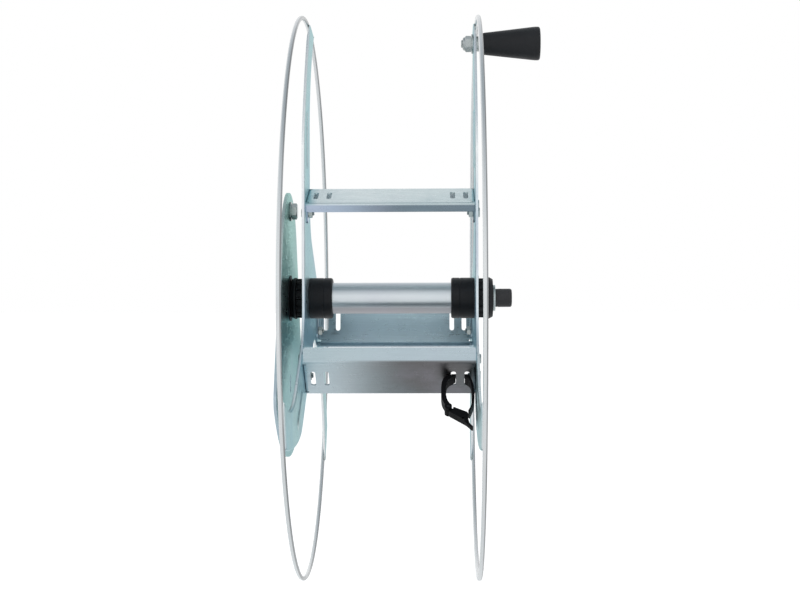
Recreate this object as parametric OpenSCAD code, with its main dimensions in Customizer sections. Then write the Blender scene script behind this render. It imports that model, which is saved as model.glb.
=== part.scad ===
// Wall-mounted reel that holds a garden hose. The drum spins on a steel axle that stands out of the wall.
// X runs out of the wall along the axle and Z points up. The origin is on the back of the wall plate.
// A piece at an angle is turned about the axle, and the angle is counted from the top toward +Y.

/* [Flanges] */
// Radius of each wire hoop, to the middle of its wire
hoop_r = 254; // [240:1:280]
// Diameter of the hoop wire
wire_d = 4; // [3.5:0.5:6]
// Distance between the planes of the two hoops
hoop_gap = 157; // [140:1:220]
// Thickness of the pressed sheet of the flanges and bars
sheet = 1.25; // [1:0.25:2]
// Depth of the turned edge of a flange, with the sheet
edge_depth = 2.8; // [2.4:0.2:4]
// Width of a flange arm
arm_w = 56; // [50:1:60]
// How far an arm's middle line lies off the axle
arm_offset = 28; // [24:1:30]
// Distance from the axle at which an arm's trailing edge starts to sweep
sweep_start = 150; // [140:1:170]
// Distance from the axle at which an arm's leading edge starts to sweep
lead_sweep = 132; // [125:1:150]
// How far the leading corner of an arm's tip is swept
tip_front = 10; // [0:1:20]
// How far the trailing corner of an arm's tip is swept
tip_back = 52; // [46:1:60]
// Radius of the hollow corner between two arms
arm_fillet = 45; // [30:1:60]
// Width of the pressed rib in an arm
rib_w = 13; // [10:1:16]
// Height of the pressed rib in an arm
rib_h = 1.2; // [0.8:0.1:1.5]
// Distance from the axle to the inner end of the rib
rib_start = 116; // [112:1:130]
// Distance from the axle to the outer end of the rib
rib_end = 170; // [155:1:175]

/* [Bars] */
// Distance from the axle to the outer face of a bar
bar_r = 96.5; // [92:0.5:105]
// Angle of the first bar, from the top toward +Y
bar_angle = -20.4; // [-24:0.2:-14]
// Distance of a bar's middle from the radial line, along its width
bar_shift = 6; // [3:0.5:8]
// Width of a bar across its outer face
bar_w = 46; // [42:1:48]
// Depth of a bar's leading side
bar_lead = 8; // [6:0.5:12]
// Depth of a bar's trailing side
bar_trail = 14; // [10:0.5:16]
// Angle that a bar's sides are folded open
bar_flare = 20; // [0:1:25]
// Width of the tab at each end of a bar
tab_w = 38; // [34:1:38]
// Length of the tab at each end of a bar
tab_h = 21; // [19:1:24]
// Distance between the two bolts of a tab
tab_bolts = 24; // [20:1:26]
// Distance from a bar's outer face to the bolts of its tab
tab_bolt_drop = 12.5; // [11:0.5:13]
// Width of a hose slot
slot_w = 4.4; // [4:0.2:6]
// Length of a hose slot
slot_l = 20; // [16:1:22]
// Distance from a flange to the middle of the first slot
slot_first = 7.8; // [6:0.2:9]
// Distance between the two slots of a pair
slot_pitch = 11.8; // [11:0.2:14]

/* [Hub] */
// Diameter of the fixed axle
axle_d = 12; // [10:0.5:14]
// Outer diameter of the core tube
tube_d = 28.4; // [24:0.2:30]
// Wall of the core tube
tube_wall = 1.5; // [1:0.25:2.5]
// Outer diameter of a hub socket
socket_d = 37.3; // [35:0.1:42]
// Length of a hub socket
socket_l = 21; // [18:0.5:30]
// Diameter of the spigot that joins a bearing to its socket
spigot_d = 26; // [22:0.5:28]
// Length of the spigot inside its socket
spigot_l = 5; // [3:0.5:6]
// Diameter of the collar against a flange
collar_d = 42; // [40:0.5:50]
// Thickness of the collar
collar_l = 3; // [2:0.5:4]
// Diameter of the bearing's neck
neck_d = 32; // [28:0.5:34]
// Diameter of the bearing's nose
nose_d = 38; // [36:0.5:40]
// Length of the bearing's nose
nose_l = 5; // [4:0.5:6]
// Number of ribs round the neck
neck_ribs = 12; // [6:1:16]
// Diameter of the end knob
knob_d = 16.8; // [15.5:0.1:20]
// Length of the end knob
knob_l = 15.2; // [14:0.2:20]
// Diameter of the end washer
end_washer_d = 24; // [20:0.5:30]
// Thickness of the end washer
end_washer_t = 2; // [1.5:0.25:3]

/* [Wall plate] */
// Thickness of the wall plate
plate_t = 2.5; // [2:0.25:4]
// Distance from the face of the wall plate to the first hoop's plane
plate_gap = 15.2; // [14:0.2:22]
// Radius of the plate's top
plate_top_r = 70; // [60:1:75]
// Height of the middle of the plate's top arc above the axle
plate_top_z = 27; // [20:1:32]
// Radius of the plate's lower edge
plate_low_r = 175; // [165:1:185]
// Height of the middle of the plate's lower arc above the axle
plate_low_z = 30; // [25:1:35]
// Radius of the plate's lower corners
plate_corner_r = 14; // [10:1:20]
// Half of the angle that the plate's lower edge spans
plate_half_angle = 44; // [40:1:46]
// Height of the top bolt above the axle
top_bolt_z = 80; // [70:1:82]
// Diameter of the lower screw holes
screw_hole_d = 9; // [6:0.5:10]
// Distance between the two lower screw holes
screw_span = 190; // [160:1:200]
// Depth of the lower screw holes below the axle
screw_drop = 85; // [78:1:90]
// Width of the middle slot
plate_slot_w = 9; // [6:0.5:10]
// Height of the middle slot
plate_slot_l = 17; // [12:1:20]
// Depth of the middle slot's centre below the axle
plate_slot_drop = 78; // [70:1:90]

/* [Crank] */
// Distance of the crank bolt inside the hoop
crank_inset = 19.5; // [18:0.5:24]
// Sideways place of the crank bolt
crank_y = 8; // [4:1:14]
// Diameter of the crank bolt
crank_bolt_d = 8; // [7:0.5:9]
// Length of the crank grip
grip_l = 52.6; // [45:0.2:80]
// Diameter of the grip's small end
grip_small_d = 20.2; // [18:0.2:24]
// Diameter of the grip's big end
grip_big_d = 30.8; // [28:0.2:36]
// Rounding of the grip's big end
grip_round = 5; // [3:0.5:6]
// Diameter of the recess for the bolt's head
grip_recess_d = 17; // [16.5:0.5:19]
// Depth of the recess for the bolt's head
grip_recess_l = 11; // [9:0.5:14]
// Diameter of the spacer behind the grip
spacer_d = 14; // [12:0.5:16]
// Length of the spacer behind the grip
spacer_l = 7.4; // [6:0.2:10]

/* [Hose clip] */
// Width of the clip's body along its hinge pin
clip_w = 11.4; // [10:0.2:13]
// Width of the clip's gate along its hinge pin
clip_gate_w = 8; // [6:0.5:9]
// Width of the gate's thumb tail
clip_tail_w = 5; // [3:0.5:6]
// Width of the clip's legs in their slots
clip_leg_w = 4.4; // [4:0.2:6]
// Width of the clip's opening
clip_in_w = 22; // [20:0.5:22.5]
// Depth of the clip's opening, from the bar
clip_in_l = 39; // [34:0.5:42]
// Wall of the clip's fixed jaw
clip_jaw = 4.4; // [4:0.1:5]
// Wall of the clip's slim arm
clip_arm = 2.6; // [2.2:0.1:3]
// Wall of the clip's gate at its free end
clip_gate_t = 8; // [7:0.2:9]
// Diameter of the clip's hinge pin
clip_pin_d = 2.6; // [2.2:0.1:3]
// How far the gate's thumb tail stands out
clip_tail = 15; // [12:0.5:17]

/* [Fasteners] */
// Diameter of the bar bolts
bar_bolt_d = 5; // [4:0.5:5.5]
// Width across the flats of the bar bolts and nuts
bar_hex = 8; // [7:0.5:8.5]
// Height of a bar bolt's head
bar_head_h = 3.5; // [2.5:0.5:4]
// Height of a bar nut
bar_nut_h = 4; // [3:0.5:5]
// Width across the flats of the crank bolt, its nut and the top bolt
big_hex = 13; // [12:0.5:13]
// Height of a big bolt's head
big_head_h = 5.3; // [4:0.1:6]
// Height of the locking nut on the crank bolt
lock_nut_h = 8; // [7:0.5:9]
// Thickness of the washers
washer_t = 1.6; // [1:0.1:2]
// Diameter of the washers under the big bolts
washer_d = 18; // [17:0.5:20]
// Diameter of the top bolt
top_bolt_d = 8; // [6:0.5:9]
// How far a bolt stands out of its nut
bolt_proud = 1.5; // [0.5:0.5:3]

/* [Clearances] */
// Radial clearance where one piece turns on another
run_fit = 0.08; // [0.05:0.01:0.1]
// Radial clearance of a fixed piece in its hole
loose_fit = 0.2; // [0.1:0.05:0.4]
// Radial clearance between a bolt and its nut
thread_fit = 0.05; // [0.02:0.01:0.1]
// Gap between faces that turn past each other
face_gap = 0.3; // [0.2:0.05:0.5]

/* [Hidden] */
$fn = 64;

zinc = "#c3ccd0";
zinc_plate = "#a9bfbf";
bright = "#d6dade";
black = "#26282c";

wire_r = wire_d / 2;
inner_x = plate_t + plate_gap;
outer_x = inner_x + hoop_gap;
face_in = wire_r + sheet;
first_face = inner_x + face_in;
last_face = outer_x - face_in;
bar_l = last_face - first_face;
arms = 3;
arm_step = 360 / arms;
tilt = arm_step / 2;
front_line = -arm_offset - arm_w / 2;
back_line = -arm_offset + arm_w / 2;
weld_gap = 0.6;
smooth = 8;

// Points on an arc round a centre, from one angle to another
function arc(c, r, from, to, steps = smooth) =
    [for (i = [0:steps]) let (a = from + (to - from) * i / steps) c + r * [cos(a), sin(a)]];

// A plane point turned from the top toward +Y
function turned(p, a) = [p.x * cos(a) + p.y * sin(a), p.y * cos(a) - p.x * sin(a)];

// A closed outline drawn in by a thickness, for outlines that run clockwise
function inset(pts, d) =
    let (n = len(pts))
    [for (i = [0:n - 1])
        let (v = pts[(i + 1) % n] - pts[(i + n - 1) % n])
        pts[i] + d * [v.y, -v.x] / norm(v)];

// Height of the swept edge's end on the hoop
function tip_height(t) = sqrt(pow(hoop_r, 2) - pow(t, 2));

// Share of the way from the start of an edge's sweep to the hoop
function sweep_share(s, from, tip) = max(0, s - from) / (tip_height(tip) - from);

// The leading edge bends sooner than the trailing edge
function lead_bend(q) = pow(q, 1.4);
function trail_bend(q) = pow(q, 2.2);

// Points of an arm's edge from where the sweep starts to the hoop
function lead_edge() =
    [for (i = [0:smooth]) let (s = lead_sweep + (tip_height(tip_front) - lead_sweep) * i / smooth)
        [front_line + (tip_front - front_line) * lead_bend(sweep_share(s, lead_sweep, tip_front)), s]];
function trail_edge() =
    [for (i = [0:smooth]) let (s = sweep_start + (tip_height(tip_back) - sweep_start) * i / smooth)
        [back_line + (tip_back - back_line) * trail_bend(sweep_share(s, sweep_start, tip_back)), s]];

function backward(pts) = [for (i = [len(pts) - 1:-1:0]) pts[i]];

corner_reach = (-front_line + back_line * cos(arm_step)) / sin(arm_step);
corner_z = back_line * sin(arm_step) + corner_reach * cos(arm_step);
fillet_c = [front_line - arm_fillet, corner_z + arm_fillet * tan(90 - tilt)];
tip_from = 90 - asin(tip_front / hoop_r);
tip_to = 90 - asin(tip_back / hoop_r);

// One third of the flange's outline: hollow corner, leading edge, tip and trailing edge
arm_outline = concat(
    arc(fillet_c, arm_fillet, -tilt, 0),
    lead_edge(),
    arc([0, 0], hoop_r, tip_from - 1, tip_to + 1, 4),
    backward(trail_edge())
);
flange_outline = [for (k = [0:arms - 1]) for (p = arm_outline) turned(p, k * arm_step)];

// Lays a drawing in the plane of the wall and thickens it away from the wall
module slab(x, t) translate([x, 0, 0]) rotate([90, 0, 90]) linear_extrude(t) children();

// A round bar along the axle's direction
module rod(x, l, d, fn = 64) translate([x, 0, 0]) rotate([0, 90, 0]) cylinder(h = l, d = d, $fn = fn);

// A hexagon along the axle's direction
module hexagon(x, l, flats) rod(x, l, flats / cos(30), 6);

// A body turned round the axle's direction from a half section of [x, radius] points
module turned_body(points) rotate([0, 90, 0]) rotate([0, 0, 90]) rotate_extrude($fn = 96)
    polygon([for (p = points) [p.y, p.x]]);

// A flat ring along the axle's direction
module ring(x, l, d, hole) difference() {
    rod(x, l, d);
    rod(x - 1, l + 2, hole);
}

// A slot with round ends, long in the first direction of its drawing
module slot_shape(l, w) {
    square([l - w, w], center = true);
    for (s = [-1, 1]) translate([s * (l - w) / 2, 0]) circle(d = w, $fn = 32);
}

// Turns a piece round the axle, from the top toward +Y
module around(a) rotate([-a, 0, 0]) children();

// Puts pieces at every bar
module at_bars() for (k = [0:arms - 1]) around(bar_angle + k * arm_step) translate([0, bar_shift, 0]) children();

// Puts pieces at the two bolts of every tab
module at_tab_bolts() at_bars() for (s = [-1, 1]) translate([0, s * tab_bolts / 2, bar_r - tab_bolt_drop]) children();

// The far flange is the near one in a mirror
module far_side() translate([inner_x + outer_x, 0, 0]) mirror([1, 0, 0]) children();

// Wall plate
corner_c = [
    (plate_low_r - plate_corner_r) * sin(plate_half_angle),
    plate_low_z - (plate_low_r - plate_corner_r) * cos(plate_half_angle)
];
top_c = [0, plate_top_z];
side_v = corner_c - top_c;
side_a = atan2(side_v.y, side_v.x) + acos((plate_top_r - plate_corner_r) / norm(side_v));
plate_outline = concat(
    arc(top_c, plate_top_r, side_a, 180 - side_a, 24),
    arc([-corner_c.x, corner_c.y], plate_corner_r, 180 - side_a, 270 - plate_half_angle),
    arc([0, plate_low_z], plate_low_r, 270 - plate_half_angle, 270 + plate_half_angle, 24),
    arc(corner_c, plate_corner_r, -90 + plate_half_angle, side_a)
);
slant_slot_y = 42;
slant_slot_z = -103;
slant_slot_a = 40;

module wall_plate() color(zinc_plate) difference() {
    slab(0, plate_t) polygon(plate_outline);
    rod(-1, plate_t + 2, axle_d + 2 * thread_fit);
    translate([0, 0, top_bolt_z]) rod(-1, plate_t + 2, top_bolt_d + 2 * thread_fit, 48);
    for (s = [-1, 1]) translate([0, s * screw_span / 2, -screw_drop]) rod(-1, plate_t + 2, screw_hole_d, 48);
    translate([0, 0, -plate_slot_drop]) slab(-1, plate_t + 2) rotate(90) slot_shape(plate_slot_l, plate_slot_w);
    for (s = [-1, 1]) translate([0, s * slant_slot_y, slant_slot_z]) slab(-1, plate_t + 2)
        rotate(s * slant_slot_a) slot_shape(plate_slot_l, plate_slot_w - 2);
}

// Axle and what holds the drum on it
thrust_t = 1;
drum_start = plate_t + thrust_t + face_gap;
drum_end = inner_x + outer_x - drum_start;
knob_x = drum_end + face_gap + end_washer_t;
knob_wall = 4.6;
knob_round = 2;

module axle() color(bright) rod(0, knob_x + knob_l - knob_wall, axle_d);

module thrust_washer() color(black) ring(plate_t, thrust_t, collar_d, axle_d + 2 * loose_fit);

module end_washer() color(bright) ring(drum_end + face_gap, end_washer_t, end_washer_d, axle_d + 2 * loose_fit);

module end_knob() color(black) turned_body(concat(
    [[knob_x, axle_d / 2 + thread_fit], [knob_x, knob_d / 2 - 0.6], [knob_x + 0.6, knob_d / 2]],
    arc([knob_x + knob_l - knob_round, knob_d / 2 - knob_round], knob_round, 90, 0),
    [[knob_x + knob_l, 0], [knob_x + knob_l - knob_wall, 0], [knob_x + knob_l - knob_wall, axle_d / 2 + thread_fit]]
));

module top_bolt() color(bright) translate([0, 0, top_bolt_z]) {
    hexagon(plate_t + washer_t, big_head_h, big_hex);
    rod(0, plate_t + washer_t + 1, top_bolt_d);
}

module top_bolt_washer() color(bright) translate([0, 0, top_bolt_z])
    ring(plate_t, washer_t, washer_d, top_bolt_d + 2 * loose_fit);

// Hoops and flanges
module hoop(x) translate([x, 0, 0]) rotate([0, 90, 0]) rotate_extrude($fn = 180)
    translate([hoop_r, 0]) circle(d = wire_d, $fn = 24);

module inner_hoop() color(bright) hoop(inner_x);

module outer_hoop() color(bright) hoop(outer_x);

module rib_shape(w) translate([-arm_offset, (rib_start + rib_end) / 2]) rotate(90) slot_shape(rib_end - rib_start, w);

module flange() difference() {
    union() {
        slab(inner_x + wire_r, sheet) polygon(flange_outline);
        difference() {
            slab(inner_x + face_in - edge_depth, edge_depth) difference() {
                polygon(flange_outline);
                polygon(inset(flange_outline, sheet));
            }
            ring(inner_x - hoop_r, hoop_r + wire_r, 3 * hoop_r, 2 * (hoop_r - wire_r - weld_gap));
        }
        for (k = [0:arms - 1]) around(k * arm_step) slab(inner_x + wire_r + sheet / 2, sheet / 2 + rib_h) rib_shape(rib_w);
    }
    for (k = [0:arms - 1]) around(k * arm_step) slab(inner_x + wire_r - 1, 1 + rib_h) rib_shape(rib_w - 2 * sheet);
    rod(inner_x, face_in + 1, spigot_d + 2 * loose_fit);
    at_tab_bolts() rod(inner_x, face_in + 1, bar_bolt_d + 2 * loose_fit, 32);
}

module inner_flange() color(zinc) flange();

module outer_flange() color(zinc) difference() {
    far_side() flange();
    translate([0, crank_y, crank_z]) rod(last_face - 1, face_in + 1, crank_bolt_d + 2 * loose_fit, 48);
}

// Channel bars between the flanges. A section is drawn across the bar and outward from the axle.
relief = 2;
fold_in = sheet * tan((90 - bar_flare) / 2);

// Free edge of a side, on the side's outer face
function lip_edge(s, depth) = [s * (bar_w / 2 + depth * sin(bar_flare)), bar_r - depth * cos(bar_flare)];

// A point of a side's outer face, moved to its inner face
function lip_inside(s, p) = p - sheet * [s * cos(bar_flare), sin(bar_flare)];

bar_section = [
    lip_edge(-1, bar_lead),
    [-bar_w / 2, bar_r],
    [bar_w / 2, bar_r],
    lip_edge(1, bar_trail),
    lip_inside(1, lip_edge(1, bar_trail)),
    [bar_w / 2 - fold_in, bar_r - sheet],
    [-bar_w / 2 + fold_in, bar_r - sheet],
    lip_inside(-1, lip_edge(-1, bar_lead))
];

module bar(a) color(zinc) around(a) translate([0, bar_shift, 0]) difference() {
    union() {
        slab(first_face, bar_l) polygon(bar_section);
        for (x = [first_face, last_face - sheet]) translate([x, -tab_w / 2, bar_r - tab_h]) cube([sheet, tab_w, tab_h]);
    }
    for (x = [first_face - 1, last_face - relief]) for (s = [-1, 1])
        translate([x, s * (tab_w + bar_w - 2 * fold_in) / 4 - (bar_w - tab_w - 2 * fold_in) / 4, bar_r - sheet - 0.1])
            cube([relief + 1, (bar_w - tab_w) / 2 - fold_in, sheet + 1]);
    for (x = [0, slot_pitch]) for (end = [first_face + slot_first + x, last_face - slot_first - x])
        translate([end, 0, bar_r - sheet - 1]) linear_extrude(sheet + 2) rotate(90) slot_shape(slot_l, slot_w);
    for (s = [-1, 1]) translate([0, s * tab_bolts / 2, bar_r - tab_bolt_drop])
        rod(first_face - 1, bar_l + 2, bar_bolt_d + 2 * loose_fit, 32);
}

module top_bar() bar(bar_angle);

module rear_bar() bar(bar_angle + arm_step);

module front_bar() bar(bar_angle - arm_step);

// Bolts and nuts of the bars
bolt_x = inner_x + wire_r;
nut_x = bolt_x + 2 * sheet;

module bar_bolts() at_tab_bolts() {
    hexagon(bolt_x - bar_head_h, bar_head_h, bar_hex);
    rod(bolt_x - 1, 2 * sheet + bar_nut_h + bolt_proud + 1, bar_bolt_d, 32);
}

module bar_nuts() at_tab_bolts() difference() {
    hexagon(nut_x, bar_nut_h, bar_hex);
    rod(nut_x - 1, bar_nut_h + 2, bar_bolt_d + 2 * thread_fit, 32);
}

module inner_bar_bolts() color(bright) bar_bolts();

module inner_bar_nuts() color(bright) bar_nuts();

module outer_bar_bolts() color(bright) far_side() bar_bolts();

module outer_bar_nuts() color(bright) far_side() bar_nuts();

// Tube, sockets and bearings on the axle
spigot_end = spigot_l + face_gap;
tube_stop = spigot_end + 1.5;
socket_round = 2;
axle_way = axle_d + 2;

module core_tube() color(bright) ring(first_face + tube_stop, bar_l - 2 * tube_stop, tube_d, tube_d - 2 * tube_wall);

module socket() turned_body(concat(
    [
        [first_face, spigot_d / 2 + thread_fit],
        [first_face, socket_d / 2 - 0.6],
        [first_face + 0.6, socket_d / 2]
    ],
    arc([first_face + socket_l - socket_round, socket_d / 2 - socket_round], socket_round, 90, 0),
    [
        [first_face + socket_l, tube_d / 2 + thread_fit],
        [first_face + tube_stop, tube_d / 2 + thread_fit],
        [first_face + tube_stop, axle_way / 2],
        [first_face + spigot_end, axle_way / 2],
        [first_face + spigot_end, spigot_d / 2 + thread_fit]
    ]
));

module inner_socket() color(black) socket();

module outer_socket() color(black) far_side() socket();

nose_x = drum_start;
collar_x = bolt_x - collar_l;
nose_chamfer = 1.8;
nose_chamfer_l = 3.2;
neck_rib_t = 2;

module bearing() {
    turned_body([
        [nose_x, axle_d / 2 + run_fit],
        [nose_x, nose_d / 2 - nose_chamfer],
        [nose_x + nose_chamfer_l, nose_d / 2],
        [nose_x + nose_l, nose_d / 2],
        [nose_x + nose_l, neck_d / 2],
        [collar_x, neck_d / 2],
        [collar_x, collar_d / 2],
        [bolt_x, collar_d / 2],
        [bolt_x, spigot_d / 2],
        [first_face + spigot_l, spigot_d / 2],
        [first_face + spigot_l, axle_d / 2 + run_fit]
    ]);
    for (i = [0:neck_ribs - 1]) around(i * 360 / neck_ribs)
        translate([nose_x + nose_l - 0.5, -neck_rib_t / 2, neck_d / 2 - 1])
            cube([collar_x - nose_x - nose_l + 1, neck_rib_t, (nose_d - neck_d) / 2]);
}

module inner_bearing() color(black) bearing();

module outer_bearing() color(black) far_side() bearing();

// Crank
crank_z = hoop_r - crank_inset;
spacer_x = last_face + sheet;
grip_x = spacer_x + spacer_l + face_gap;
grip_end = grip_x + grip_l;
head_x = grip_end - grip_recess_l + face_gap;
crank_nut_x = last_face - washer_t - lock_nut_h;
lock_collar_h = 2;

module at_crank() translate([0, crank_y, crank_z]) children();

module crank_bolt() color(bright) at_crank() {
    rod(crank_nut_x - bolt_proud, head_x + 1 - crank_nut_x + bolt_proud, crank_bolt_d, 48);
    hexagon(head_x, big_head_h, big_hex);
}

module crank_spacer() color(bright) at_crank() ring(spacer_x, spacer_l, spacer_d, crank_bolt_d + 2 * loose_fit);

module crank_washer() color(bright) at_crank()
    ring(last_face - washer_t, washer_t, washer_d, crank_bolt_d + 2 * loose_fit);

module crank_nut() color(bright) at_crank() difference() {
    union() {
        hexagon(crank_nut_x + lock_collar_h, lock_nut_h - lock_collar_h, big_hex);
        rod(crank_nut_x, lock_nut_h, big_hex - 1.2);
    }
    rod(crank_nut_x - 1, lock_nut_h + 2, crank_bolt_d + 2 * thread_fit, 48);
}

module crank_grip() color(black) at_crank() turned_body(concat(
    [
        [grip_x, crank_bolt_d / 2 + run_fit],
        [grip_x, grip_small_d / 2 - 0.8],
        [grip_x + 0.8, grip_small_d / 2]
    ],
    arc([grip_end - grip_round, grip_big_d / 2 - grip_round], grip_round, 96, 0),
    [
        [grip_end, grip_recess_d / 2],
        [grip_end - grip_recess_l, grip_recess_d / 2],
        [grip_end - grip_recess_l, crank_bolt_d / 2 + run_fit]
    ]
));

// Hose clip on the front bar. Its drawings are in the plane of the axle and the bar's outward direction.
clip_angle = bar_angle - arm_step;
leg_w = slot_w - 2 * face_gap;
leg_far = last_face - slot_first;
leg_near = leg_far - slot_pitch;
clip_foot = bar_r + face_gap;
clip_right = last_face - rib_h - face_gap;
open_right = clip_right - clip_arm;
open_left = open_right - clip_in_w;
clip_left = open_left - clip_jaw;
knuckle_r = 3.2;
knuckle_w = clip_gate_w / 2;
bridge_t = 1.6;
bridge_in = bar_r - sheet - face_gap - bridge_t;
tail_hole_d = 1.8;

// A place across and along the clip's opening, as shares of its width and depth
function in_clip(across, along) = [open_left + across * clip_in_w, bar_r + along * clip_in_l];

// An open line with its corners cut off
function cut_corners(p) = concat(
    [p[0]],
    [for (i = [0:len(p) - 2]) each [0.75 * p[i] + 0.25 * p[i + 1], 0.25 * p[i] + 0.75 * p[i + 1]]],
    [p[len(p) - 1]]
);

function soft_line(p) = cut_corners(cut_corners(cut_corners(p)));

pin_p = in_clip(0.08, 0.86);

// Stands a clip drawing up on the front bar and gives it a width along the slots
module clip_slice(w) around(clip_angle) translate([0, bar_shift, 0]) rotate([90, 0, 0])
    translate([0, 0, -w / 2]) linear_extrude(w) children();

// The jaw, the legs through the slots, their bridge behind the bar and the slim arm, as one outline
module clip_outline() polygon(concat(
    soft_line([
        pin_p + [1.4, knuckle_r - 0.3],
        pin_p + [-1.2, knuckle_r - 0.2],
        [clip_left + 0.7 * clip_jaw, bar_r + 0.8 * clip_in_l],
        [clip_left, bar_r + 0.64 * clip_in_l],
        [clip_left, bar_r + 0.28 * clip_in_l],
        [clip_left + 0.4 * clip_jaw, bar_r + 0.1 * clip_in_l],
        [open_left + 0.3, clip_foot + 1],
        [leg_near - leg_w / 2, clip_foot]
    ]),
    [[leg_near - leg_w / 2, bridge_in], [leg_far + leg_w / 2, bridge_in]],
    soft_line([
        [leg_far + leg_w / 2, clip_foot],
        [leg_far + leg_w / 2 + 2.2, bar_r + 0.12 * clip_in_l],
        [clip_right, bar_r + 0.36 * clip_in_l],
        [clip_right, bar_r + 0.7 * clip_in_l],
        [clip_right - 2.6, bar_r + 0.9 * clip_in_l],
        in_clip(0.86, 0.97) + [1.2, 1.5]
    ]),
    soft_line([
        in_clip(0.86, 0.97),
        in_clip(0.99, 0.84),
        in_clip(1.01, 0.62),
        in_clip(1, 0.35),
        in_clip(0.98, 0.15),
        in_clip(0.74, 0.05),
        [leg_far - leg_w / 2, clip_foot]
    ]),
    [[leg_far - leg_w / 2, bridge_in + bridge_t], [leg_near + leg_w / 2, bridge_in + bridge_t]],
    soft_line([
        [leg_near + leg_w / 2, clip_foot],
        in_clip(0.3, 0.05),
        in_clip(0.04, 0.15),
        in_clip(-0.01, 0.35),
        in_clip(0, 0.58),
        in_clip(0.05, 0.7),
        in_clip(0.14, 0.79)
    ])
));

module clip_body() color(black) difference() {
    clip_slice(clip_w) {
        clip_outline();
        translate(pin_p) circle(r = knuckle_r, $fn = 32);
    }
    clip_slice(knuckle_w + 2 * face_gap) translate(pin_p) {
        circle(r = knuckle_r + face_gap, $fn = 32);
        translate([-knuckle_r - 2, -2]) square([2 * knuckle_r + 4, knuckle_r + 5]);
    }
    clip_slice(clip_w + 2) translate(pin_p) circle(d = clip_pin_d + 2 * run_fit, $fn = 32);
    for (side = [clip_leg_w / 2, -clip_w]) around(clip_angle) translate([clip_left, bar_shift + side, bridge_in - 1])
        cube([clip_right - clip_left, clip_w - clip_leg_w / 2, clip_foot - bridge_in + 1]);
}

module clip_pin() color(bright) clip_slice(clip_w - 0.4) translate(pin_p) circle(d = clip_pin_d, $fn = 32);

gate_end = in_clip(0.81, 0.985);
tail_root = gate_end + [0.6, clip_gate_t];
tail_tip = gate_end + [4.6, clip_tail];

module clip_gate() color(black) difference() {
    union() {
        clip_slice(clip_gate_w) polygon([
            pin_p + [knuckle_r + face_gap + 0.6, 1.6],
            in_clip(0.285, 0.85),
            gate_end + [-0.7, -0.3],
            gate_end + [0.3, 0.2],
            gate_end + [1.2, 2.2],
            gate_end + [1, clip_gate_t - 1],
            tail_root + [0.3, 2.6],
            pin_p + [1.4, knuckle_r + face_gap + 1.6],
            pin_p + [0.6, knuckle_r + face_gap + 0.6]
        ]);
        clip_slice(clip_tail_w) polygon([
            gate_end + [-3, 4],
            gate_end + [1, clip_gate_t - 2],
            tail_root + [1.4, 2.6],
            tail_tip + [0.5, -0.8],
            tail_tip + [0.4, 0.2],
            tail_tip + [-0.6, 0.5],
            tail_root + [-3, 1]
        ]);
        clip_slice(knuckle_w) {
            translate(pin_p) circle(r = knuckle_r, $fn = 32);
            polygon([
                pin_p + [2, -2.2],
                pin_p + [knuckle_r + face_gap + 1.2, 1.8],
                pin_p + [2.6, knuckle_r + face_gap + 2],
                pin_p + [0, knuckle_r]
            ]);
        }
    }
    clip_slice(clip_gate_w + 2) translate(pin_p) circle(d = clip_pin_d + 2 * run_fit, $fn = 32);
    clip_slice(clip_gate_w + 2) translate(gate_end + [-3.5, clip_gate_t - 1.5]) circle(d = tail_hole_d, $fn = 24);
}

wall_plate();
axle();
top_bolt();
top_bolt_washer();
thrust_washer();
end_washer();
end_knob();
inner_hoop();
outer_hoop();
inner_flange();
outer_flange();
top_bar();
rear_bar();
front_bar();
inner_bar_bolts();
inner_bar_nuts();
outer_bar_bolts();
outer_bar_nuts();
core_tube();
inner_socket();
outer_socket();
inner_bearing();
outer_bearing();
crank_bolt();
crank_spacer();
crank_washer();
crank_nut();
crank_grip();
clip_body();
clip_gate();
clip_pin();
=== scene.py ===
"""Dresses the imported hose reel: pressed zinc sheet, drawn wire, moulded plastic and the studio round it.

Meshes are built in millimetres in the frame's axes: X runs out of the wall along the axle and Z points up.
A piece at an angle is turned about the axle, and its angle is counted from the top toward +Y.
"""

import math

import bmesh
import bpy
from bpy.props import FloatProperty, FloatVectorProperty, IntProperty, PointerProperty
from mathutils import Matrix, Vector


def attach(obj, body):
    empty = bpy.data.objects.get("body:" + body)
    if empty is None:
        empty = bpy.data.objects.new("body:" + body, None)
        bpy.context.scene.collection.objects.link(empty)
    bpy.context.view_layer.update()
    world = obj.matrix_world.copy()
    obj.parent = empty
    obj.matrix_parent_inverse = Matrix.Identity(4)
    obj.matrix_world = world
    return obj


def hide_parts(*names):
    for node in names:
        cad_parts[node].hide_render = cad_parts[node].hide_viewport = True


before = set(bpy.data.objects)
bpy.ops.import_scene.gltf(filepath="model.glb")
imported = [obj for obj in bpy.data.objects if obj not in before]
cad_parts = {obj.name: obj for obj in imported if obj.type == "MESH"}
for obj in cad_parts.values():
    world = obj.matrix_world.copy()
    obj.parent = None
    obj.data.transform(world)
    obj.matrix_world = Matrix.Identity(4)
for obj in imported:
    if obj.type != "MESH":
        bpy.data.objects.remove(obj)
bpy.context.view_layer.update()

bl_info = {
    "name": "Hose reel dressing",
    "version": (1, 0, 0),
    "blender": (4, 5, 0),
    "location": "3D View > Sidebar > Hose reel",
    "description": "Builds the visible pieces, finishes and studio of a wall-mounted hose reel",
    "category": "Object",
}

MM = 0.001

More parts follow.
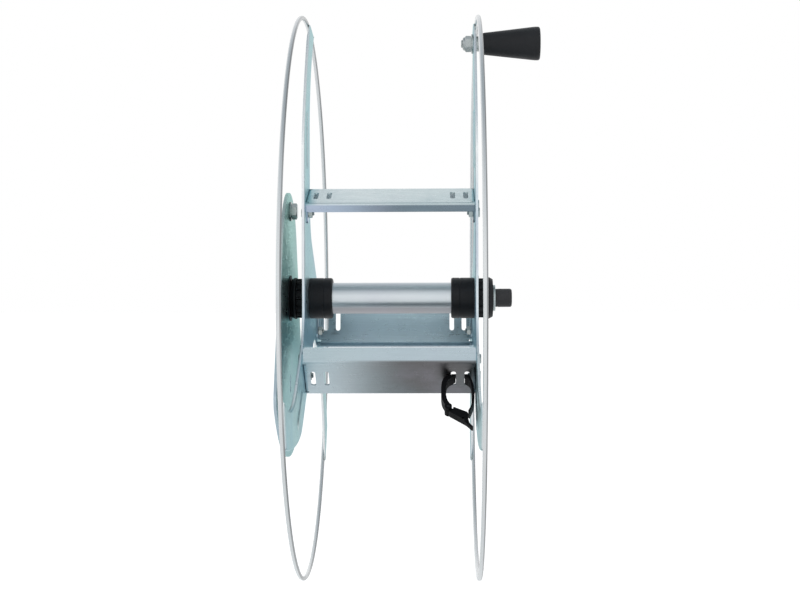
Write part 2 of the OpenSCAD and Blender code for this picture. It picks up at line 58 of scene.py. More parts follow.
# Places and sizes that the frame's solids have, in millimetres
HOOP_R, WIRE_R, SHEET, PLATE = 254.0, 2.0, 1.25, 2.5
INNER_X, OUTER_X = 17.7, 174.7
MIDDLE_X = (INNER_X + OUTER_X) / 2
BACK_X, FACE_X, EDGE_X = 19.7, 20.95, 18.15
BAR_R, BAR_L, BAR_W, BAR_SHIFT = 96.5, 150.5, 46.0, 6.0
BAR_LEAD, BAR_TRAIL, BAR_BEND = 8.0, 14.0, math.radians(70)
BAR_ANGLES = {"top_bar": -20.4, "rear_bar": 99.6, "front_bar": -140.4}
TAB_W, TAB_H = 38.0, 21.0
BOLT_SIDE, BOLT_DROP = 12.0, 12.5
SLOT_L, SLOT_W, SLOT_FIRST, SLOT_PITCH = 20.0, 4.4, 7.8, 11.8
RIB_PLACE, RIB_L, RIB_W = (-28.0, 143.0), 54.0, 13.0
TUBE_R, TUBE_BORE, TUBE_END = 14.2, 12.7, 6.8
SOCKET_R, SOCKET_L, SPIGOT_R = 18.65, 21.0, 13.0
COLLAR_R, NECK_R, NOSE_R, NOSE_X = 21.0, 16.0, 19.0, 3.8
KNOB_R, KNOB_X, KNOB_END = 8.4, 190.9, 206.1
GRIP_L, RECESS_L, RECESS_R, SPACER_L = 52.6, 11.0, 8.5, 7.4
# Radii of the holes
AXLE_HOLE, HUB_HOLE, SMALL_HOLE, BIG_HOLE = 6.05, 13.2, 2.7, 4.2
# Width over flats, height of the head and of the nut, and thread
SMALL_HEX, SMALL_HEAD, SMALL_NUT, SMALL_THREAD = 8.0, 3.5, 4.0, (5.0, 0.8)
BIG_HEX, BIG_HEAD, BIG_NUT, BIG_THREAD = 13.0, 5.3, 8.0, (8.0, 1.25)
WASHER_R, WASHER_T, RUNNING_GAP = 9.0, 1.6, 0.3
# Places as (y, z)
CRANK, TOP_BOLT = (8.0, 234.5), (0.0, 80.0)
# The flanges' sides, and whether each is the far one
SIDES = (("inner", False), ("outer", True))

# Painted light and shade on each bar, as shares of the zinc colour on its web, leading side and trailing side,
# each at its inner and outer end: the lit shares are painted highlights, the dim and dark ones painted shade
# and reflection
LIT, DIM = (1.3, 1.3, 1.3), (0.8, 0.9, 0.95)
BAR_PAINTED_LIGHT = {
    "top_bar": ((1.25, 1.26, 1.24), (1.22, 1.24, 1.21), (0.70, 0.76, 0.92), (0.25, 0.27, 0.32), LIT, LIT),
    "rear_bar": ((0.74, 0.92, 1.0), (0.78, 0.94, 1.0), DIM, DIM, (0.62, 0.72, 0.80), (0.56, 0.64, 0.72)),
    "front_bar": ((0.86, 0.92, 0.96), (0.25, 0.225, 0.225), DIM, DIM, (0.92, 0.98, 1.0), (0.88, 0.94, 0.98)),
}
# Colour of the painted dark reflection at the top bar's inner fold, and of the painted highlight on a flange's
# turned edge
BEND_PAINTED_REFLECTION, FLANGE_EDGE_HIGHLIGHT = (0.30, 0.56, 0.62), (0.94, 0.96, 0.97)
# Colour of the painted dark reflection on the wire's side away from the wall, and of the dust in moulded grain
SIDE_REFLECTION_TONE, DUST_TONE = (0.16, 0.165, 0.17), (0.085, 0.087, 0.092)

# The photo's width in pixels, and the camera's turn from level in degrees: yaw, pitch and roll
PICTURE_W, CAMERA_TURN = 800, (1.43, -0.07, -0.15)


# Properties

def colour(name, description, default):
    return FloatVectorProperty(
        name=name, description=description, subtype="COLOR", size=3, min=0, max=1, default=default,
    )


def number(name, description, default, low, high, **kind):
    return FloatProperty(name=name, description=description, default=default, min=low, max=high, **kind)


def length(*values):
    return number(*values, unit="LENGTH")


def share(*values):
    return number(*values, 0.0, 1.0, subtype="FACTOR")


def count(name, description, default, low, high):
    return IntProperty(name=name, description=description, default=default, min=low, max=high)


def group(cls, name, description):
    return PointerProperty(type=cls, name=name, description=description)


class SheetSettings(bpy.types.PropertyGroup):
    """Sizes and finish of the pressed zinc sheet"""

    fold_radius: length("Fold radius", "Outer radius of the turned edge of a flange", 0.0020, 0.0016, 0.003)
    bend_radius: length("Bend radius", "Outer radius of the bends of a bar", 0.0024, 0.0018, 0.003)
    deburr: length("Deburring", "Rounding of the cut edges of the sheet", 0.00022, 0.0001, 0.0005)
    bar_colour: colour("Bars", "Zinc colour of the bars", (0.66, 0.72, 0.74))
    flange_colour: colour("Flanges", "Zinc colour of the flanges", (0.57, 0.66, 0.67))
    plate_colour: colour("Wall plate", "Zinc colour of the wall plate", (0.52, 0.63, 0.61))
    roughness: share("Roughness", "Roughness of the zinc on the sheet", 0.34)


class WireSettings(bpy.types.PropertyGroup):
    """Finish of the hoops, the tube and the fasteners"""

    wire_colour: colour("Hoops", "Zinc colour of the hoop wire", (0.74, 0.76, 0.77))
    tube_colour: colour("Tube", "Zinc colour of the core tube", (0.72, 0.77, 0.80))
    pin_colour: colour("Pin", "Colour of the clip's blackened hinge pin", (0.035, 0.035, 0.038))
    bolt_colour: colour("Fasteners", "Zinc colour of bolts, nuts and washers", (0.43, 0.46, 0.45))
    roughness: share("Roughness", "Roughness of wire, tube and fasteners", 0.27)
    weld_spots: count("Welds", "Weld spots between an arm and its hoop", 3, 2, 4)


class PlasticSettings(bpy.types.PropertyGroup):
    """Finish of the moulded pieces"""

    hub_colour: colour("Hubs", "Colour of the sockets and bearings", (0.0075, 0.0085, 0.0105))
    grip_colour: colour("Grip", "Colour of the crank grip", (0.010, 0.011, 0.013))
    knob_colour: colour("Knob", "Colour of the end knob", (0.034, 0.034, 0.036))
    clip_colour: colour("Clip", "Colour of the hose clip", (0.005, 0.005, 0.006))
    roughness: share("Roughness", "Roughness of the moulded pieces", 0.46)
    neck_ribs: count("Neck ribs", "Ribs round the neck of a bearing", 12, 6, 16)


class StudioSettings(bpy.types.PropertyGroup):
    """Floor, light and camera"""

    floor_height: length("Floor", "Height of the floor below the axle", -0.300, -1.5, -0.26)
    floor_glow: number("Floor glow", "Light of the floor itself, as seen", 0.52, 0.0, 1.0)
    fill: number("Fill", "Strength of the light from all round", 0.72, 0.1, 1.2)
    key: number("Key lamp", "Power of the soft lamp in watts", 22.0, 0.0, 80.0)
    distance: length("Camera distance", "Distance of the camera from the axle", 1.4285, 0.5, 5.0)
    across: length("Camera across", "How far the camera stands from the wall", 0.1392, -1.0, 1.0)
    focal: number("Focal length", "Focal length in pixels of an 800 pixel wide picture", 1554.0, 300.0, 5000.0)


class HoseReelSettings(bpy.types.PropertyGroup):
    """All settings of the hose reel"""

    sheet: group(SheetSettings, "Sheet", "Pressed sheet")
    wire: group(WireSettings, "Wire", "Wire, tube and fasteners")
    plastic: group(PlasticSettings, "Plastic", "Moulded pieces")
    studio: group(StudioSettings, "Studio", "Floor, light and camera")


def settings():
    return bpy.context.scene.hose_reel


# Plane geometry

def arc(centre, r, start, end, steps):
    """Points on an arc, with angles in degrees."""
    angles = [math.radians(start + (end - start) * i / steps) for i in range(steps + 1)]
    return [(centre[0] + r * math.cos(a), centre[1] + r * math.sin(a)) for a in angles]


def turned(p, degrees):
    """A (y, z) point turned from the top toward +Y."""
    a = math.radians(degrees)
    return (p[0] * math.cos(a) + p[1] * math.sin(a), p[1] * math.cos(a) - p[0] * math.sin(a))


def drawn_in(points, d):
    """A closed outline that runs clockwise, drawn in by a distance."""
    result = []
    for i, p in enumerate(points):
        a, b = points[i - 1], points[(i + 1) % len(points)]
        v = (b[0] - a[0], b[1] - a[1])
        n = math.hypot(*v)
        result.append((p[0] + d * v[1] / n, p[1] - d * v[0] / n))
    return result


def slot_outline(centre, long_size, short_size, degrees, steps):
    """A slot with round ends, long along its own first direction, turned counter-clockwise."""
    half, r = (long_size - short_size) / 2, short_size / 2
    points = arc((half, 0), r, -90, 90, steps) + arc((-half, 0), r, 90, 270, steps)
    c, s = math.cos(math.radians(degrees)), math.sin(math.radians(degrees))
    return [(centre[0] + x * c - y * s, centre[1] + x * s + y * c) for x, y in points]


def circle(centre, r, steps):
    return arc(centre, r, 0, 360, steps)[:-1]


def soft_section(corners, steps):
    """A closed section from (x, radius, rounding) corners, with each corner rounded."""
    result = []
    for i, (x, r, soft) in enumerate(corners):
        p = Vector((x, r))
        if soft <= 0:
            result.append((x, r))
            continue
        before = Vector(corners[i - 1][:2]) - p
        after = Vector(corners[(i + 1) % len(corners)][:2]) - p
        reach = min(soft, 0.48 * before.length, 0.48 * after.length)
        a, b = p + before.normalized() * reach, p + after.normalized() * reach
        for k in range(steps + 1):
            t = k / steps
            q = a * (1 - t) ** 2 + p * 2 * t * (1 - t) + b * t * t
            result.append((q.x, q.y))
    return result


def ease(t):
    """A smooth step from 0 to 1."""
    t = min(1.0, max(0.0, t))
    return t * t * (3 - 2 * t)


# Mesh building

def joined(bm, first, second):
    """Faces between two closed rings of vertices, one of which may be a single point."""
    n = max(len(first), len(second))
    for i in range(n):
        j = (i + 1) % n
        unique = []
        for ring, k in ((first, i), (first, j), (second, j), (second, i)):
            v = ring[k % len(ring)]
            if v not in unique:
                unique.append(v)
        if len(unique) > 2:
            bm.faces.new(unique)


def chained(bm, rings, closed=False):
    """Faces from each ring to the next, and from the last to the first of a closed chain."""
    for a, b in zip(rings, rings[1:] + (rings[:1] if closed else [])):
        joined(bm, a, b)


def revolved(rows, steps, centre=(0.0, 0.0), offset=0.0, closed=True, bm=None):
    """Turns rows of (x, radius) about the X direction. A radius may be a function of the angle in radians."""
    bm = bmesh.new() if bm is None else bm
    rings = []
    for x, r in rows:
        if not callable(r) and r < 1e-6:
            rings.append([bm.verts.new((x, centre[0], centre[1]))])
            continue
        ring = []
        for k in range(steps):
            a = 2 * math.pi * k / steps
            size = r(a) if callable(r) else r
            b = a + math.radians(offset)
            ring.append(bm.verts.new((x, centre[0] + size * math.sin(b), centre[1] + size * math.cos(b))))
        rings.append(ring)
    chained(bm, rings, closed)
    return bm


def washer(x, thick, outer, hole, centre=(0.0, 0.0), soft=0.25):
    """A flat ring with rounded rims."""
    corners = [(x, hole, 0), (x, outer, soft), (x + thick, outer, soft), (x + thick, hole, 0)]
    return revolved(soft_section(corners, 3), 64, centre)


def hexagon(flats, limit=math.inf):
    """Radius of a hexagon at an angle, with a corner at angle zero and its corners turned off at a limit."""
    return lambda a: min(flats / 2 / math.cos((a % (math.pi / 3)) - math.pi / 6), limit)


def hex_rows(low, high, flats, both=False):
    """Rows of a hexagon body from one X to another, with the corners turned off at the high end or at both."""
    way = 1 if high > low else -1

    def turned_off(end, inward):
        """Rows from an end inward, on which more and more of the corners is left."""
        shares = (k / 4 for k in range(5))
        return [(end + inward * 0.07 * flats * t, hexagon(flats, flats * (0.475 + 0.105 * t))) for t in shares]

    start = [(low, flats * 0.47), (low + way * 0.25, flats * 0.47), (low + way * 0.27, hexagon(flats))]
    return (turned_off(low, way) if both else start) + turned_off(high, -way)[::-1]


def thread_rows(start, end, d, pitch):
    """Rows of a screw thread along X, with a chamfered far end."""
    way = 1 if end > start else -1
    steps = max(6, int(abs(end - start) / pitch * 7))
    depth = 0.55 * pitch

    def radius_at(x):
        def radius(a):
            phase = (way * x / pitch - a / (2 * math.pi)) % 1.0
            cut = depth * (1 - abs(2 * phase - 1)) ** 0.8
            lead = ease(abs(x - start) / pitch)
            return min(d / 2 - cut * lead, d / 2 - 0.75 * pitch + abs(end - x) * 0.9)
        return radius

    places = [start + (end - start) * k / steps for k in range(steps + 1)]
    return [(x, radius_at(x)) for x in places]


def filled(bm, loops):
    """Flat faces between the first loop of vertices and the hole loops after it."""
    edges = []
    for loop in loops:
        for i, v in enumerate(loop):
            w = loop[(i + 1) % len(loop)]
            edges.append(bm.edges.get((v, w)) or bm.edges.new((v, w)))
    bmesh.ops.triangle_fill(bm, use_beauty=True, use_dissolve=False, edges=edges)


def loop_at(bm, points, x):
    """Vertices of a (y, z) outline on a plane across X."""
    return [bm.verts.new((x, *p)) for p in points]


def parted(rows, limit, depth, angle, width):
    """Rows with two mould lines, on opposite sides, where the radius is over a limit."""
    def lined(r):
        return lambda a: r - depth * math.exp(-(math.sin(a + angle) ** 2) / width)

    return [(x, lined(r) if r > limit else r) for x, r in rows]


def mirrored(bm):
    """The far flange's pieces are the near one's in a mirror."""
    bmesh.ops.scale(bm, vec=(-1, 1, 1), verts=bm.verts)
    bmesh.ops.translate(bm, vec=(2 * MIDDLE_X, 0, 0), verts=bm.verts)
    bmesh.ops.reverse_faces(bm, faces=bm.faces)


def linked(name, data):
    """A new object in the scene."""
    obj = bpy.data.objects.new(name, data)
    bpy.context.scene.collection.objects.link(obj)
    return obj


def piece(bm, name, body, nodes, slot, material, far=False, sharp=38.0, rounding=0.0, limit=50.0):
    """Makes a piece of a mesh in millimetres, mirrored for the far flange, and puts it on its body."""
    if far:
        mirrored(bm)
    bmesh.ops.remove_doubles(bm, verts=bm.verts, dist=0.004)
    bmesh.ops.dissolve_degenerate(bm, dist=0.002, edges=bm.edges)
    loose = [v for v in bm.verts if not v.link_faces]
    bmesh.ops.delete(bm, geom=loose, context="VERTS")
    bmesh.ops.recalc_face_normals(bm, faces=bm.faces)
    if bm.calc_volume(signed=True) < 0.0:
        bmesh.ops.reverse_faces(bm, faces=bm.faces)
    for face in bm.faces:
        face.smooth = True
    for edge in bm.edges:
        edge.smooth = len(edge.link_faces) == 2 and edge.calc_face_angle(math.pi) < math.radians(sharp)
    bmesh.ops.scale(bm, vec=(MM, MM, MM), verts=bm.verts)
    mesh = bpy.data.meshes.new(name)
    bm.to_mesh(mesh)
    bm.free()
    mesh.materials.append(material)
    obj = linked(name, mesh)
    soften(obj, rounding, limit)
    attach(obj, body)
    if nodes:
        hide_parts(*nodes)


def soften(obj, width, limit):
    """Rounds an object's sharp edges, where it has a width for that, and shades its faces evenly."""
    if width:
        bevel = obj.modifiers.new("Rounded edges", "BEVEL")
        bevel.width = width
        bevel.segments = 2
        bevel.limit_method = "ANGLE"
        bevel.angle_limit = math.radians(limit)
        bevel.harden_normals = True
    weighting = obj.modifiers.new("Even shading", "WEIGHTED_NORMAL")
    weighting.keep_sharp = True


def fastener(bm, name, body, node, **options):
    """A bolt, nut, washer or sleeve in bright zinc."""
    piece(bm, name, body, [node], "fastener_zinc", finish("bolt"), **options)


def dressed(node, material, width, limit=40.0):
    """Gives a solid of the frame its finish and rounds its edges."""
    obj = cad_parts[node]
    if not obj.material_slots:
        obj.data.materials.append(material)
    for slot in obj.material_slots:
        slot.material = material
    weld = obj.modifiers.new("Closed mesh", "WELD")
    weld.merge_threshold = 0.00001
    soften(obj, width, limit)


# Materials

class Nodes:
    """Short way to wire up a node tree."""

    def __init__(self, tree):
        self.tree = tree

    def add(self, kind, inputs=None, **values):
        """Adds a node and gives its outputs."""
        node = self.tree.nodes.new("ShaderNode" + kind)
        for key, value in values.items():
            setattr(node, key, value)
        for key, value in (inputs or {}).items():
            self.set(node.inputs[key], value)
        return node.outputs

    def set(self, socket, value):
        if isinstance(value, bpy.types.NodeSocket):
            self.tree.links.new(value, socket)
        else:
            socket.default_value = value

    def maths(self, operation, a, b=0.0):
        return self.add("Math", {0: a, 1: b}, operation=operation)["Value"]

    def part(self, vector, axis):
        return self.add("SeparateXYZ", {"Vector": vector})[axis]


class Surface(Nodes):
    """The nodes of a new material."""

    def __init__(self, name):
        self.material = bpy.data.materials.new(name)
        self.material.use_nodes = True
        super().__init__(self.material.node_tree)
        self.shader = self.tree.nodes["Principled BSDF"]
        coordinates = self.add("TexCoord")
        self.place, self.normal = coordinates["Object"], coordinates["Normal"]

    def stretched(self, scale, turn=(0.0, 0.0, 0.0)):
        """The place on the piece, stretched by a scale on each axis after a turn."""
        inputs = {"Vector": self.place, "Scale": scale, "Rotation": [math.radians(t) for t in turn]}
        return self.add("Mapping", inputs)["Vector"]

    def noise(self, scale, detail, rough=0.55, vector=None, distortion=0.0):
        inputs = {"Vector": vector or self.place, "Scale": scale, "Detail": detail, "Roughness": rough}
        return self.add("TexNoise", inputs | {"Distortion": distortion})["Fac"]

    def ranged(self, value, low, high, to_low=0.0, to_high=1.0):
        """A value taken smoothly from one range to another."""
        inputs = {"Value": value, "From Min": low, "From Max": high, "To Min": to_low, "To Max": to_high}
        return self.add("MapRange", inputs, interpolation_type="SMOOTHSTEP")["Result"]

    def mixed(self, factor, a, b, blend="MIX"):
        a, b = (c if isinstance(c, bpy.types.NodeSocket) else (*c, 1.0) for c in (a, b))
        return self.add("Mix", {0: factor, 6: a, 7: b}, data_type="RGBA", blend_type=blend)[2]

    def bump(self, height, strength, distance, after=None):
        inputs = {"Height": height, "Strength": strength, "Distance": distance}
        if after is not None:
            inputs["Normal"] = after
        return self.add("Bump", inputs)["Normal"]

    def shaded(self, **sockets):
        """Sets sockets of the shader, with underlines in their names for spaces, and gives the material."""
        for name, value in sockets.items():
            self.set(self.shader.inputs[name.replace("_", " ")], value)
        return self.material


def toned(rgb, shares):
    return tuple(c * t for c, t in zip(rgb, shares))


def zinc(name, rgb, roughness, grain, tint, cool=(0.30, 0.50, 0.56), spots=1.0, painted_light=None, side_reflection=0.0,
         edge=(1.0, 1.0, 1.0)):
    """Bright zinc: a drawn or rolled grain, blotches of passivation tint and specks, over any painted light
    and shade a piece asks for, with a painted dark reflection on sides facing away from the wall where asked
    for.
    """
    n = Surface(name)
    broad = n.noise(7.0, 2.0, 0.5, distortion=0.6)
    drift = n.noise(17.0, 3.0, 0.6, vector=n.stretched((1.0, 1.3, 0.7)))
    specks = n.noise(900.0, 2.0, 0.6)
    blotch = n.noise(120.0, 4.0, 0.65, distortion=0.3)
    lines = n.noise(1.0, 3.0, 0.6, vector=n.stretched(grain))
    # Pieces that ask for it get their painted light and shade first.
    tinted = painted_light(n, rgb) if painted_light else n.mixed(0.0, rgb, rgb)
    tinted = n.mixed(n.ranged(broad, 0.40, 0.66, 0.0, tint), tinted, cool)
    tinted = n.mixed(n.ranged(drift, 0.50, 0.72, 0.0, tint * 0.55), tinted, (0.56, 0.52, 0.66))
    for mask, low, high, amount, tone in (
        (blotch, 0.35, 0.70, 0.16, 1.18), (lines, 0.35, 0.65, 0.14, 0.70), (specks, 0.62, 0.80, 0.20, 0.55),
    ):
        share_of_tone = n.ranged(mask, low, high, 0.0, amount * spots)
        tinted = n.mixed(share_of_tone, tinted, (tone,) * 3, "MULTIPLY")
    # A painted dark reflection, broken up by noise, on the sides that face away from the wall.
    if side_reflection:
        dark_side = n.ranged(n.part(n.normal, "X"), 0.25, 0.62, 0.0, side_reflection)
        patchy = n.ranged(n.noise(9.0, 2.0), 0.30, 0.62, 0.55, 1.0)
        tinted = n.mixed(n.maths("MULTIPLY", dark_side, patchy), tinted, SIDE_REFLECTION_TONE)
    dulled = n.ranged(blotch, 0.3, 0.7, -0.055 * spots, 0.055 * spots)
    drawn = n.ranged(lines, 0.3, 0.7, roughness - 0.065 * spots, roughness + 0.065 * spots)
    fine = n.bump(lines, 0.10 * spots, 0.00008)
    return n.shaded(
        Base_Color=tinted, Roughness=n.maths("ADD", drawn, dulled), Metallic=1.0, Specular_Tint=(*edge, 1.0),
        Normal=n.bump(blotch, 0.06 * spots, 0.0004, after=fine),
    )


def moulded(name, rgb, roughness, wear=0.22, shine=0.25):
    """Moulded plastic: a spark-eroded fine grain, faint flow marks, scuffs and dust in the grain."""
    n = Surface(name)
    fine = n.noise(1500.0, 2.0, 0.5)
    flow = n.noise(1.0, 4.0, 0.6, vector=n.stretched((22.0, 70.0, 70.0)), distortion=0.8)
    scuffs = n.noise(1.0, 3.0, 0.7, vector=n.stretched((420.0, 90.0, 160.0), (20.0, 35.0, 10.0)))
    cloud = n.noise(46.0, 3.0, 0.6)
    tone = n.mixed(n.ranged(flow, 0.35, 0.70, 0.0, 0.5), rgb, toned(rgb, (1.5, 1.5, 1.5)))
    tone = n.mixed(n.ranged(fine, 0.45, 0.75, 0.0, 0.35), tone, toned(rgb, (2.1, 2.1, 2.1)))
    marks = n.maths("MULTIPLY", n.ranged(scuffs, 0.60, 0.78, 0.0, wear), n.ranged(cloud, 0.45, 0.65))
    clouded = n.ranged(cloud, 0.35, 0.65, roughness - 0.05, roughness + 0.06)
    scuffed = n.ranged(scuffs, 0.5, 0.8, 0.0, 0.12)
    grainy = n.bump(fine, 0.22, 0.00006)
    return n.shaded(
        Base_Color=n.mixed(marks, tone, DUST_TONE), Roughness=n.maths("ADD", clouded, scuffed),
        Specular_IOR_Level=shine, Normal=n.bump(flow, 0.05, 0.0003, after=grainy),
    )


def bar_zinc(name, angle):
    """The zinc of one bar, with light and shade painted on its web and sides: each takes its own painted tone
    from the inner end to the outer end.
    """
    a = math.radians(angle)

    def painted_light(n, rgb):
        def along(direction):
            return n.add("VectorMath", {0: n.place, 1: direction}, operation="DOT_PRODUCT")["Value"]

        x = along((1.0, 0.0, 0.0))
        across = n.ranged(x, 0.030, 0.115)
        top = BAR_R - 0.6
        folded = n.ranged(along((0.0, math.sin(a), math.cos(a))), top * MM, (top - 2.0) * MM)
        trailing = n.ranged(along((0.0, math.cos(a), -math.sin(a))), 0.0, 0.012)
        tones = [toned(rgb, shares) for shares in BAR_PAINTED_LIGHT[name]]
        web, lead, trail = (n.mixed(across, *tones[i:i + 2]) for i in (0, 2, 4))
        # A painted dark reflection runs across the top bar's web at its inner fold.
        if name == "top_bar":
            web = n.mixed(n.ranged(x, 0.033, 0.022, 0.0, 0.80), web, BEND_PAINTED_REFLECTION)
        return n.mixed(folded, web, n.mixed(trailing, lead, trail))

    look = settings().sheet
    grain = (26.0, 1300.0, 1300.0)
    return zinc("zinc_" + name, look.bar_colour[:], look.roughness, grain, tint=0.20, painted_light=painted_light)


def flange_painted_light(n, rgb):
    """Painted light on a flange: a painted highlight makes the turned edge brighter than the face, and a
    painted reflection makes the face bluer below the axle.
    """
    facing = n.maths("ABSOLUTE", n.part(n.normal, "X"))
    radius = n.add("VectorMath", {0: n.stretched((0.0, 1.0, 1.0))}, operation="LENGTH")["Value"]
    far = n.ranged(radius, 0.060, 0.135)
    above = n.ranged(n.part(n.place, "Z"), -0.020, 0.015)
    face = n.mixed(n.maths("MAXIMUM", far, above), toned(rgb, (0.86, 0.93, 1.04)), rgb)
    return n.mixed(n.ranged(facing, 0.35, 0.85), FLANGE_EDGE_HIGHLIGHT, face)


def shaded_below(start, end, shares):
    """Takes a colour to shares of itself from one height down to another, as painted shade and reflection on
    the lower part of a piece.
    """
    def painted_light(n, rgb):
        return n.mixed(n.ranged(n.part(n.place, "Z"), start, end), rgb, toned(rgb, shares))

    return painted_light


# Group of settings, added roughness, maker and options of each finish
FINISHES = {
    # The plate is painted bluer towards the bottom, a painted reflection like the flanges'.
    "plate": ("sheet", 0.0, zinc, dict(
        grain=(40.0, 40.0, 1400.0), tint=0.45, cool=(0.46, 0.62, 0.64), edge=(0.56, 0.80, 0.76),
        painted_light=shaded_below(0.000, -0.060, (0.94, 0.94, 1.08)),
    )),
    # The flanges get a painted highlight on the turned edge and a painted reflection below the axle.
    "flange": ("sheet", 0.0, zinc, dict(
        grain=(40.0, 1300.0, 60.0), tint=0.50, cool=(0.38, 0.54, 0.66), edge=(0.60, 0.82, 0.84),
        painted_light=flange_painted_light,
    )),
    # The hoop wire gets a painted dark reflection on its side away from the wall.
    "wire": ("wire", -0.06, zinc, dict(grain=(700.0, 700.0, 700.0), tint=0.08, spots=0.20, side_reflection=0.85)),
    # The tube's underside is painted darker, a painted reflection of the bars.
    "tube": ("wire", 0.07, zinc, dict(
        grain=(10.0, 900.0, 900.0), tint=0.16, spots=0.35,
        painted_light=shaded_below(-0.0065, -0.0100, (0.58, 0.54, 0.55)),
    )),
    "pin": ("wire", 0.10, zinc, dict(grain=(700.0, 700.0, 260.0), tint=0.0, spots=0.4)),
    "bolt": ("wire", -0.07, zinc, dict(grain=(700.0, 260.0, 260.0), tint=0.22, spots=0.2)),
    "hub": ("plastic", 0.0, moulded, {}),
    "grip": ("plastic", -0.02, moulded, dict(wear=0.35)),
    "knob": ("plastic", 0.04, moulded, {}),
    "clip": ("plastic", -0.06, moulded, dict(wear=0.10, shine=0.05)),
}


def finish(kind):
    """The material of one kind of piece, made the first time it is asked for."""
    owner, rougher, make, options = FINISHES[kind]
    name = ("plastic_" if make is moulded else "zinc_") + kind
    look = getattr(settings(), owner)
    rgb = getattr(look, kind + "_colour")[:]
    return bpy.data.materials.get(name) or make(name, rgb, look.roughness + rougher, **options)


# Flanges

# Lines of an arm's leading and trailing edge, their ends on the hoop, and where and how fast they sweep back
ARM_FRONT, ARM_BACK = -56.0, 0.0
TIP_FRONT, TIP_BACK, ARM_FILLET = 10.0, 52.0, 45.0
LEAD_SWEEP, TRAIL_SWEEP = (132.0, 1.4), (150.0, 2.2)
# Where and how fast a turned edge runs out, its inner bend radius, and the rounding of its rim
FADE_R, FADE_L, INNER_BEND = 240.0, 10.0, 0.5
RIM = ((0.28, 0.0), (0.08, 0.08), (0.0, 0.28))
# Steps up a rib, and how far it is drawn in at each on the front and on the back of the sheet
RIB_RISES = (0.0, 0.1, 0.5, 0.9, 1.12, 1.2)
RIB_FRONT, RIB_BACK = (0.0, 0.35, 0.95, 1.5, 2.0, 2.6), (0.7, 1.1, 1.7, 2.3, 2.8, 3.4)
# Size of a weld spot across the sheet, along the wire and toward the hub, and the butt weld of a hoop
WELD_SIZE = (1.0, 3.4, 1.15)
SEAM_ANGLE, SEAM_WIDTH, SEAM_HEIGHT = 205, 0.9, 0.16


def flange_outline():
    """Outline of a three-armed flange as (y, z) points that run clockwise."""
    step = math.radians(120)
    reach = (-ARM_FRONT + ARM_BACK * math.cos(step)) / math.sin(step)
    corner = ARM_BACK * math.sin(step) + reach * math.cos(step)
    centre = (ARM_FRONT - ARM_FILLET, corner + ARM_FILLET * math.tan(math.radians(30)))

    def edge(line, tip, sweep):
        """Points from where the edge leaves its line to its tip."""
        start, power = sweep
        run = math.sqrt(HOOP_R ** 2 - tip ** 2) - start
        return [(line + (tip - line) * t ** power, start + run * t) for t in (i / 22 for i in range(23))]

    first, last = (90 - math.degrees(math.asin(t / HOOP_R)) for t in (TIP_FRONT, TIP_BACK))
    arm = arc(centre, ARM_FILLET, -60, 0, 16)
    arm += edge(ARM_FRONT, TIP_FRONT, LEAD_SWEEP)
    arm += arc((0, 0), HOOP_R, first - 0.6, last + 0.6, 8)
    arm += edge(ARM_BACK, TIP_BACK, TRAIL_SWEEP)[::-1]
    return [turned(p, 120 * k) for k in range(3) for p in arm]


def bolt_places():
    """The (y, z) place and the angle of each bolt of the bars' tabs."""
    places = [(BAR_SHIFT + s * BOLT_SIDE, BAR_R - BOLT_DROP) for s in (-1, 1)]
    return [(turned(p, a), a) for a in BAR_ANGLES.values() for p in places]


def rib_loops(bm, x, draws):
    """Rings of the pressed rib in one arm after another, drawn in from the sheet up to the rib's top."""
    arms = []
    for k in range(3):
        rings = []
        for rise, draw in zip(RIB_RISES, draws):
            points = slot_outline(RIB_PLACE, RIB_L - 2 * draw, RIB_W - 2 * draw, 90, 12)
            rings.append(loop_at(bm, [turned(p, 120 * k) for p in points], x + rise))
        chained(bm, rings)
        filled(bm, [rings[-1]])
        arms.append(rings[0])
    return arms


def flange_mesh(crank_hole):
    """A pressed flange with its turned edge, its ribs and its holes."""
    bm = bmesh.new()
    outline = flange_outline()

    def edge_rows(draw, inward, fold, face):
        """(draw, x) rows from the rim of the turned edge round the bend to a face of the sheet."""
        rows = [(draw + inward * s, EDGE_X + rise) for s, rise in RIM]
        for i in range(7):
            a = math.radians(90 * i / 6)
            rows.append((draw + fold * (1 - math.cos(a)), face - fold + fold * math.sin(a)))
        return rows

    def ring(draw, x):
        """The outline drawn in. The turned edge runs out where an arm meets its hoop."""
        result = []
        for p, q in zip(drawn_in(outline, draw), outline):
            level = EDGE_X + (BACK_X - EDGE_X) * ease((math.hypot(*q) - FADE_R) / FADE_L)
            result.append(bm.verts.new((max(x, level), *p)))
        return result

    outer = [ring(*row) for row in edge_rows(0.0, 1, settings().sheet.fold_radius / MM, FACE_X)]
    inner = [ring(*row) for row in edge_rows(SHEET, -1, INNER_BEND, BACK_X)]
    chained(bm, outer)
    chained(bm, inner)
    joined(bm, outer[0], inner[0])

    holes = [circle((0, 0), HUB_HOLE, 64)] + [circle(p, SMALL_HOLE, 24) for p, _ in bolt_places()]
    if crank_hole:
        holes.append(circle(CRANK, BIG_HOLE, 32))
    front, back = [outer[-1]], [inner[-1]]
    for hole in holes:
        a, b = loop_at(bm, hole, FACE_X), loop_at(bm, hole, BACK_X)
        joined(bm, a, b)
        front.append(a)
        back.append(b)
    filled(bm, front + rib_loops(bm, FACE_X, RIB_FRONT))
    filled(bm, back + rib_loops(bm, BACK_X, RIB_BACK))
    return bm


